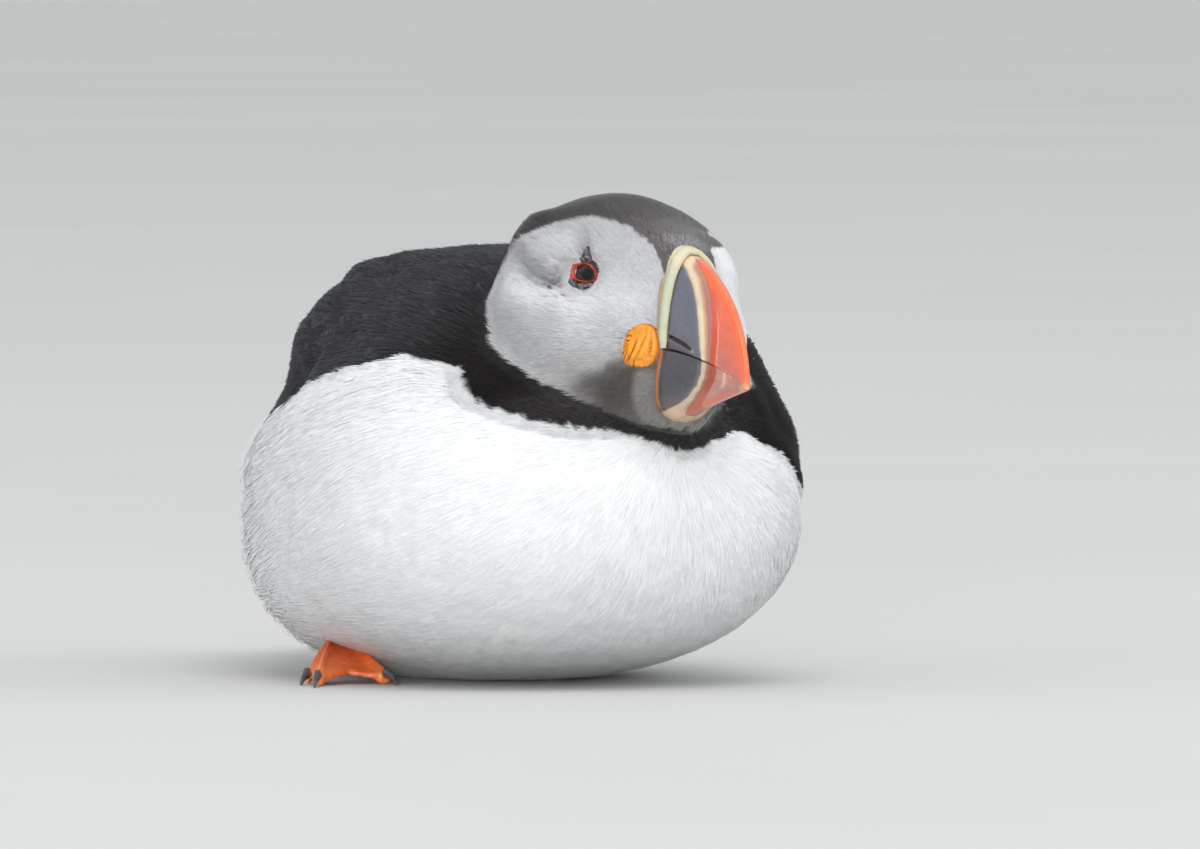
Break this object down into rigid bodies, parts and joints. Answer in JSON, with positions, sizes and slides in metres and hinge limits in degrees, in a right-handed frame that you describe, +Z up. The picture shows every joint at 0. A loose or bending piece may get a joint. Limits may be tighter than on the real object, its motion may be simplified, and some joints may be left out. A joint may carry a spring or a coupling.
{
  "type": "atlantic puffin",
  "caption": "Life-size Atlantic puffin at rest on its belly, head raised and turned a little, as a still museum-like bird model.",
  "frame": {"origin": "on the floor, under the middle of the bird's box", "axes": "+Z up, -Y towards the bill, +X towards the bird's left"},
  "size_m": [0.1112, 0.2208, 0.1036],
  "materials": {
    "white_plumage": "soft white feathers",
    "face_plumage": "soft pale grey feathers",
    "dark_plumage": "soft black-brown feathers",
    "flight_feathers": "stiff charcoal feathers",
    "bill_red": "satin horn",
    "bill_slate": "satin horn",
    "cere": "pitted cream horn",
    "rosette": "moist wrinkled skin",
    "eye": "wet gloss",
    "eye_ring": "bare wrinkled skin",
    "eye_plate": "horny skin",
    "foot_skin": "scaly skin and web",
    "claw": "satin horn"
  },
  "bodies": {
    "root": {"head": "face_plumage", "neck": "dark_plumage", "back": "dark_plumage", "trunk": "white_plumage", "tail": "flight_feathers", "wing_left": "flight_feathers", "wing_right": "flight_feathers", "bill_upper": "bill_red", "bill_lower": "bill_slate", "cere": "cere", "eye_left": "eye", "eye_ring_left": "eye_ring", "brow_plate_left": "eye_plate", "lower_plate_left": "eye_plate", "rosette_left": "rosette", "leg_left": "foot_skin", "foot_left": "foot_skin", "claw_left_1": "claw", "claw_left_2": "claw", "claw_left_3": "claw", "eye_right": "eye", "eye_ring_right": "eye_ring", "brow_plate_right": "eye_plate", "lower_plate_right": "eye_plate", "rosette_right": "rosette", "leg_right": "foot_skin", "foot_right": "foot_skin", "claw_right_1": "claw", "claw_right_2": "claw", "claw_right_3": "claw"}
  },
  "joints": []
}
